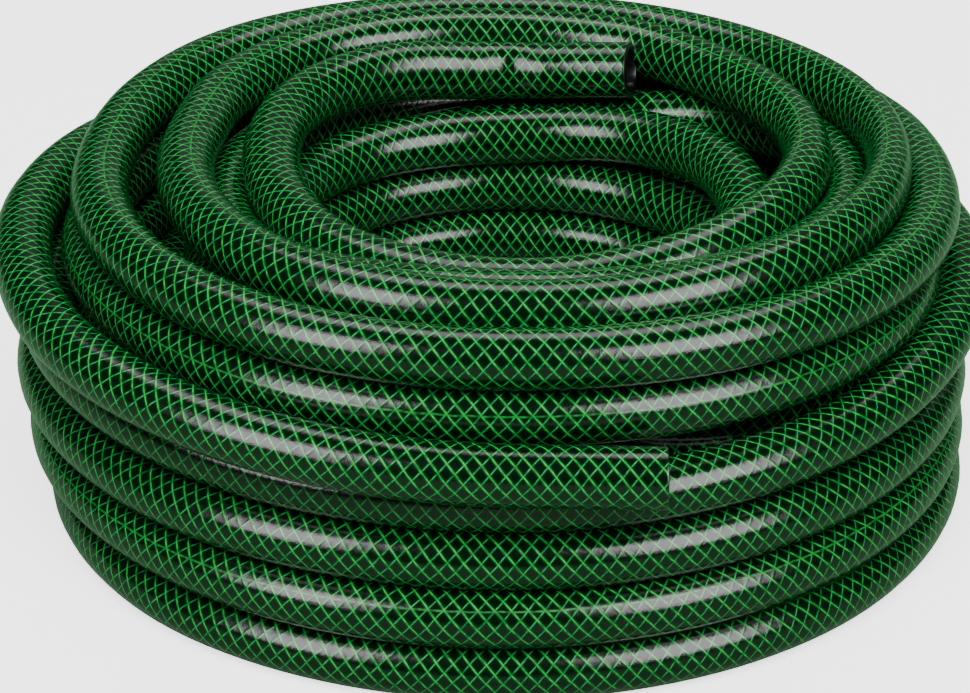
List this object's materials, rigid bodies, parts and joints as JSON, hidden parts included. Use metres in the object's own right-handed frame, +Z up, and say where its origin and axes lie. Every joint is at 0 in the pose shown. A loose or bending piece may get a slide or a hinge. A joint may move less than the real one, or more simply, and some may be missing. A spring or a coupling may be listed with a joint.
{
  "type": "garden hose",
  "caption": "Coil of half-inch green braided PVC garden hose, wound in a thick round stack of turns with both cut ends lying free.",
  "frame": {"origin": "centre of the floor under the coil", "axes": "+Z up along the coil's axis; +X the way that both cut ends face; -Y the front, where the outer end lies"},
  "size_m": [0.2854, 0.2852, 0.1136],
  "materials": {
    "hose_green": "gloss"
  },
  "bodies": {
    "root": {"hose_coil": "hose_green", "hose_inner_end": "hose_green", "hose_outer_end": "hose_green"}
  },
  "joints": []
}
